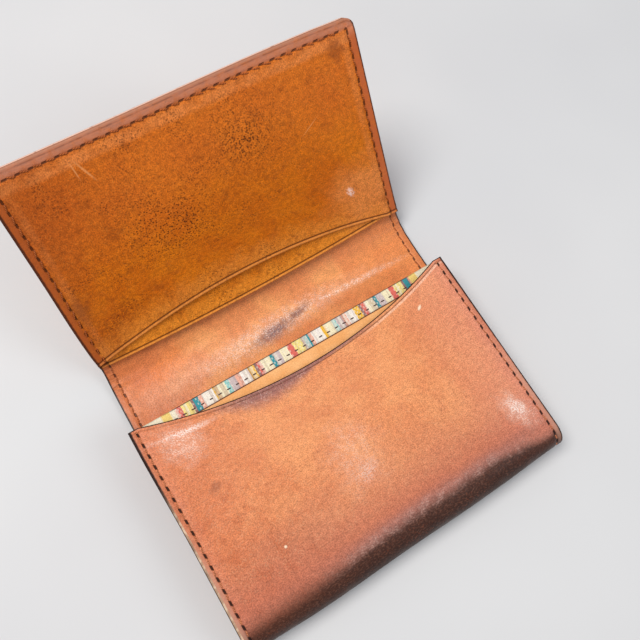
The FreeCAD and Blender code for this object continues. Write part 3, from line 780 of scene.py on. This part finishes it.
def floor_material():
    m = Material("pale_floor")
    position = m.node("TexCoord").outputs["Object"]
    soft = m.node("TexNoise", Vector=position, Scale=6.0, Detail=3.0).outputs[0]
    m.colour = m.mix(m.ramp(soft, 0.3, 0.7), srgb(214, 214, 216), srgb(222, 222, 223))
    m.put(m.colour, m.shader.inputs["Base Color"])
    m.shader.inputs["Roughness"].default_value = 0.8
    return m.material


TAN = outer_leather()
LINING = lining_leather()
OCHRE_STRAIGHT = lid_leather("ochre_straight", 0.85, (242, 150, 48))
OCHRE_SCOOPED = lid_leather("ochre_scooped", 0.6, (234, 146, 58))
OCHRE_WALL = divider_leather()
GUSSET = gusset_leather()
STRIPES = striped_cloth()
FRONT_THREAD = thread_material("front_thread", (150, 82, 52), (206, 130, 90))
SPINE_THREAD = thread_material("spine_thread", (146, 76, 42), (192, 110, 66))
LID_THREAD = thread_material("lid_thread", (126, 58, 22), (188, 102, 48))
TRIM_THREAD = thread_material("trim_thread", (58, 42, 40), (108, 80, 72))


# Pieces -------------------------------------------------------------------------------------------

def side_seam(inset, depth=1.0):
    """The shallow channel that a side seam pulls into the leather."""
    deep, wide = SEAM_GROOVE
    return lambda x, s, rim: -depth * deep * hump(rim[..., 0], inset, wide)


def stand_for(piece, follow, slot, *nodes):
    """Puts a piece in the nodes' place and hides them. It rides on a body, or one of the functions below
    bakes its placement into its mesh.
    """
    if callable(follow):
        follow(piece)
    else:
        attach(piece, follow)
    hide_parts(*nodes)


def across_fold(piece):
    """For a piece between back and front, round the bottom fold: bakes its placement into its mesh."""
    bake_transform(piece)


def across_spine_crease(piece):
    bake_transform(piece)


def across_lid_crease(piece):
    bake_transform(piece)


ACROSS = lines(-HALF_WIDTH, HALF_WIDTH, SEAM_INSETS, SEAM_INSETS)


def front_strip():
    under = lines(STRIP_TURNED - (OUTER_SPLIT + MOUTH_Y - FOLD_Y), STRIP_TURNED, BUTT, BUTT)
    fold = np.linspace(STRIP_TURNED, 0, 30)[1:]
    front = lines(0, FRONT_LENGTH, BUTT, RIM_INSETS, 1.0)[1:]
    groove = side_seam(FRONT_SEAM)

    def upper(x, s, rim):
        crease = -0.14 * hump(rim[..., 2], RIM_CREASE, 0.22)
        above = smooth(s, STRIP_TURNED * 0.62, STRIP_TURNED * 0.45)
        below = 1 - smooth(s, STRIP_TURNED - 2, STRIP_TURNED)
        channel = side_seam(LID_SEAM, OUTSIDE_GROOVE)(x, s, rim)
        waves = 0.1 * np.sin(x / 7 + 1.3 * np.sin(s / 9)) * smooth(rim[..., 2], 0, 12) * above
        return crease + groove(x, s, rim) * above + channel * below + waves * smooth(rim[..., 0], 1, 8)

    def scooped(x):
        return -scoop(x, FRONT_SCOOP)

    piece = sheet("front_and_fold_leather", on_strip, ACROSS, np.concatenate([under, fold, front]),
                  FOLD_RADIUS - OUTER_THICKNESS, OUTER_THICKNESS, TAN,
                  butt_start=True, end=scooped, upper=upper)
    stand_for(piece, across_fold, "outer_leather", "front_panel", "back_outer_leather")


def outside_groove(x, s, rim):
    return -side_seam(LID_SEAM, OUTSIDE_GROOVE)(x, s, rim)


def along_strip(s):
    """The strip's s on the outside of spine or lid, so that the leather's pattern carries on."""
    return STRIP_TURNED - FRONT_RUN - s


def lid_end(x):
    """The lid's end is cut a little crowned."""
    return 0.45 * hump(x, 22, 32) * smooth(HALF_WIDTH - np.abs(x), 3, 14)


def spine_rows(start, insets):
    """Grid lines of a layer from start to the split on the spine, close together at the crease."""
    before, after = SPINE_START - 2, SPINE_START + 6
    creased = np.arange(before, after, 0.4)
    return np.concatenate([lines(start, before, insets, BUTT)[:-1], creased,
                           lines(after, FLAT_SPLIT, BUTT, BUTT)])


def spine_outside():
    piece = sheet("spine_outer_leather_skin", on_inside, ACROSS, spine_rows(OUTER_SPLIT, BUTT),
                  -INNER_HEIGHT, OUTER_THICKNESS, TAN, butt_start=True, butt_end=True,
                  lower=outside_groove, seen_below=True, relabel=along_strip)
    stand_for(piece, across_spine_crease, "outer_leather", "back_outer_leather", "spine_outer_leather")


def lid_rows():
    """Grid lines of a layer from the split on the spine to the lid's end, close together on the curl."""
    flat = lines(FLAT_SPLIT, CURL_START, BUTT, BUTT)[:-1]
    curl = np.arange(CURL_START, CURL_END, 0.5)
    return np.concatenate([flat, curl, lines(CURL_END, LID_END, BUTT, SEAM_INSETS)])


def lid_outside():
    def lower(x, s, rim):
        return np.maximum(outside_groove(x, s, rim), outside_groove(x, s, rim[..., [2, 1, 0]]))

    piece = sheet("lid_outer_leather_skin", on_inside, ACROSS, lid_rows(),
                  -INNER_HEIGHT, OUTER_THICKNESS, TAN, butt_start=True, corner=LID_CORNER,
                  end=lid_end, lower=lower, seen_below=True, relabel=along_strip)
    stand_for(piece, across_lid_crease, "outer_leather", "lid_outer_leather")


def linings():
    groove = side_seam(LID_SEAM, 0.8)

    def worn(x, s, rim):
        ripple = 0.12 * np.sin(s * 1.7 + x / 19) * hump(s, CURL_START + 4, 6)
        ripple *= hump(np.abs(x), HALF_WIDTH, 9)
        dip = -0.3 * hump(s, SPINE_START + 1, 2.2)
        return groove(x, s, rim) + ripple + dip * smooth(rim[..., 0], 1, 6)

    back = sheet("back_lining_skin", on_inside, ACROSS, spine_rows(-FRONT_RUN, EDGE_INSETS),
                 -LINING_THICKNESS, LINING_THICKNESS, LINING, butt_end=True, upper=worn)
    stand_for(back, across_spine_crease, "lining_leather", "back_lining", "spine_lining")
    lid = sheet("lid_lining_skin", on_inside, ACROSS, lid_rows(),
                -LINING_THICKNESS, LINING_THICKNESS, LINING,
                butt_start=True, corner=LID_CORNER, end=lid_end, upper=worn)
    stand_for(lid, across_lid_crease, "lining_leather", "lid_lining")


def lid_pockets():
    ss = lines(CURL_END + 0.3, LID_END, RIM_INSETS, SEAM_INSETS)

    def middle(x):
        return np.maximum(1 - (x / HALF_WIDTH) ** 2, 0)

    def rolled(x, s, rim):
        """The turned edge stands a little proud, and the seam is pulled in."""
        bead = 0.2 * hump(rim[..., 1], 0.5, 0.4) - 0.12 * hump(rim[..., 1], RIM_CREASE, 0.2)
        end = side_seam(LID_SEAM)(x, s, rim[..., [2, 1, 0]])
        return bead + np.minimum(side_seam(LID_SEAM)(x, s, rim), end)

    def bowed(x):
        return -1.1 * middle(x + 8)

    def opening(x, rim):
        return 1.1 * middle(x) * np.exp(-rim[..., 1] / 7)

    def scooped(x):
        return scoop(x + 2.5, LID_SCOOP) + 0.6 * hump(x, -HALF_WIDTH, 12)

    def resting(x, rim):
        return 0.9 * middle(x) * np.exp(-(rim[..., 1] + 5) / 7)

    panels = (("lid_pocket_straight", 0, OCHRE_STRAIGHT, bowed, opening),
              ("lid_pocket_scooped", POCKET_THICKNESS, OCHRE_SCOOPED, scooped, resting))
    for name, bottom, material, cut, lift in panels:
        panel = sheet(name + "_panel", on_inside, ACROSS, ss, bottom, POCKET_THICKNESS, material,
                      corner=LID_CORNER, start=cut, end=lid_end, lift=lift, upper=rolled)
        stand_for(panel, "lid", "ochre_leather", name)


def front_walls():
    xs = lines(-HALF_WIDTH, HALF_WIDTH, EDGE_INSETS, EDGE_INSETS)
    ss = lines(WALL_FOOT, FRONT_LENGTH - DIVIDER_DROP, EDGE_INSETS, RIM_INSETS)
    divider = sheet("front_divider_wall", on_strip, xs, ss, STRIPED_TOP, WALL_THICKNESS, OCHRE_WALL)
    stand_for(divider, "front", "ochre_leather", "front_divider")
    ss = lines(WALL_FOOT, FRONT_LENGTH, EDGE_INSETS, RIM_INSETS)
    board = WALL_THICKNESS - CLOTH_THICKNESS
    wall = sheet("striped_wall_backing", on_strip, xs, ss, STRIPED_BOTTOM, board, LINING, bevel=0.2)
    stand_for(wall, "front", "striped_fabric", "striped_wall")
    cloth = sheet("striped_wall_cloth", on_strip, xs, ss,
                  STRIPED_BOTTOM + board, CLOTH_THICKNESS, STRIPES, bevel=0.14)
    stand_for(cloth, "front", "striped_fabric", "striped_wall")


def gusset(side, name):
    """Thin leather folded inwards between the sewn edges of back and front."""
    ys = np.linspace(FOLD_Y - 3, MOUTH_Y - 1, 50)
    edge, margin = HALF_WIDTH - 0.4, HALF_WIDTH - 4.0
    shallow, tuck = 4.6, 9.2                  # how far in it reaches at the bottom fold, and beyond
    flat_half = 9.0
    c, y = np.meshgrid(np.linspace(-1, 1, 41), ys)
    closing = smooth(y, FOLD_Y - 3, FOLD_Y + 5)
    run = (y - FOLD_Y) * math.tan(FRONT_TILT)
    low = INNER_HEIGHT + 0.9 * (1 - closing)
    high = FOLD_RADIUS + STRIPED_BOTTOM + run - 0.1 - 0.6 * (1 - closing)
    apex = HALF_WIDTH - (shallow + (tuck - shallow) * closing)
    bend = smooth(np.abs(c), 0.0, 0.62)
    x = apex + (margin - apex) * np.minimum(bend * 1.02, 1)
    x += (edge - margin) * smooth(np.abs(c), 0.6, 1.0)
    rise = np.sign(c) * smooth(np.abs(c), 0.0, 0.6)
    middle, span = (low + high) / 2, (high - low) / 2 - GUSSET_THICKNESS / 2
    z = middle + span * rise
    x += 0.25 * np.sin(y * 0.9) * (1 - np.abs(c)) ** 2
    surface = np.stack([side * x, y, z], -1)
    normal = np.cross(np.gradient(surface, axis=1), np.gradient(surface, axis=0))
    normal /= np.linalg.norm(normal, axis=-1, keepdims=True)
    half = GUSSET_THICKNESS / 2 * normal
    layout = np.stack([c * flat_half, y, np.zeros_like(y)], -1)
    rim = np.stack([flat_half * (1 - np.abs(c)), y - ys[0], ys[-1] - y], -1)
    piece = closed_grid(name + "_leather", surface + half, surface - half,
                        {"flat": (layout, layout), "rim": (rim, rim)}, GUSSET)
    stand_for(piece, across_fold, "gusset_leather", name)


def seam_places(start, end, pitch):
    """Middles of the stitches between holes a pitch apart, from start as far as end."""
    count = int((end - start) / pitch)
    return [start + pitch * (place + 0.5) for place in range(count)]


def seams():
    quarter = math.pi / 2
    slant = 0.16
    for side, name in ((-1, "left"), (1, "right")):
        x = side * (HALF_WIDTH - FRONT_SEAM)
        places = [FRONT_SEAM_TOP - s for s in seam_places(0, FRONT_LENGTH + 8, STITCH_PITCH)]
        stitches = [(x, s, quarter + side * slant) for s in places]
        back_tack = [(x - side * 0.2, FRONT_SEAM_TOP + 0.6, side * 0.5)]
        runs = [(on_strip, FOLD_RADIUS - 0.28, 1, 0.66, stitches),
                (on_strip, FOLD_RADIUS - 0.2, 1, 0.6, back_tack)]
        piece = thread("front_seam_" + name, runs, FRONT_THREAD)
        stand_for(piece, across_fold, "thread", "front_stitching_" + name)
    x = HALF_WIDTH - LID_SEAM
    seated = -0.24                            # the thread's base inside, in its channel
    under = 0.33 - INNER_HEIGHT               # and outside

    def outside(stitches):
        return on_inside, under, -1, 0.9, stitches

    inside = [(side * x, s, quarter + side * slant) for side in (-1, 1)
              for s in seam_places(SPINE_START, CURL_END + 1, STITCH_PITCH)]
    low = [place for place in inside if place[1] < FLAT_SPLIT]
    high = [place for place in inside if place[1] > FLAT_SPLIT]
    for name, follow, stitches in (("lower", across_spine_crease, low),
                                   ("upper", across_lid_crease, high)):
        runs = [(on_inside, seated, 1, 0.7, stitches), outside(stitches)]
        piece = thread("spine_seam_" + name, runs, SPINE_THREAD)
        stand_for(piece, follow, "thread", "spine_stitching")
    below = [(side * x, s, quarter) for side in (-1, 1)
             for s in seam_places(-FRONT_RUN, SPINE_START, STITCH_PITCH)]
    piece = thread("back_seam", [outside(below)], SPINE_THREAD)
    stand_for(piece, "back", "thread", "back_stitching")
    lid_slant = 1.7 * slant
    stitches = [(side * x, s, quarter + side * lid_slant) for side in (-1, 1)
                for s in seam_places(LID_SEAM_START, LID_END - LID_SEAM, STITCH_PITCH)]
    count = int((x - 0.5) / STITCH_PITCH)
    stitches += [((place + 0.5) * STITCH_PITCH, LID_END - LID_SEAM, -lid_slant)
                 for place in range(-count, count)]
    top = 2 * POCKET_THICKNESS - 0.25
    piece = thread("lid_seam", [(on_inside, top, 1, 1, stitches), outside(stitches)], LID_THREAD)
    stand_for(piece, "lid", "thread", "lid_stitching")
    places = seam_places(-TRIM_HALF, TRIM_HALF + 0.1, TRIM_PITCH)
    stitches = [(x, FRONT_LENGTH - TRIM_DROP, 0.0) for x in places]
    piece = thread("striped_wall_seam", [(on_strip, STRIPED_TOP - 0.16, 1, 0.62, stitches)], TRIM_THREAD)
    stand_for(piece, "front", "trim_thread", "striped_wall_stitching")


front_strip()
spine_outside()
lid_outside()
linings()
lid_pockets()
front_walls()
gusset(-1, "gusset_left")
gusset(1, "gusset_right")
seams()


# Studio, in metres --------------------------------------------------------------------------------

def soft_light(name, place, size, watts, colour):
    """A round lamp that shines on the case."""
    lamp = bpy.data.lights.new(name, "AREA")
    lamp.shape = "DISK"
    lamp.size = size
    lamp.energy = watts
    lamp.color = colour
    made = bpy.data.objects.new(name, lamp)
    made.location = place
    made.rotation_mode = "QUATERNION"
    made.rotation_quaternion = (-Vector(place)).to_track_quat("-Z", "Y")
    bpy.context.scene.collection.objects.link(made)


def studio():
    half, level = 4.0, -0.05 * MM
    corners = [(-half, -half, level), (half, -half, level), (half, half, level), (-half, half, level)]
    mesh = bpy.data.meshes.new("floor")
    mesh.from_pydata(corners, [], [(0, 1, 2, 3)])
    mesh.materials.append(floor_material())
    floor = bpy.data.objects.new("floor", mesh)
    bpy.context.scene.collection.objects.link(floor)
    soft_light("key", (-0.28, 0.22, 0.75), 0.42, 4.6, (1.0, 0.97, 0.93))
    soft_light("fill", (0.55, -0.45, 0.6), 0.5, 1.8, (0.95, 0.98, 1.0))
    world = bpy.data.worlds.new("studio")
    world.use_nodes = True
    sky = world.node_tree.nodes["Background"].inputs
    sky["Color"].default_value = (0.94, 0.96, 1.0, 1)
    sky["Strength"].default_value = 0.42
    bpy.context.scene.world = world
    bpy.context.scene.view_settings.view_transform = "Standard"


def camera():
    lens = bpy.data.cameras.new("camera")
    lens.sensor_width = 36
    lens.lens = 35.81
    lens.clip_start = 0.01
    lens.clip_end = 20
    made = bpy.data.objects.new("camera", lens)
    made.location = (-0.0358, -0.0432, 0.1990)
    made.rotation_euler = [math.radians(angle) for angle in (18.74, -4.45, -31.85)]
    bpy.context.scene.collection.objects.link(made)
    bpy.context.scene.camera = made


studio()
camera()
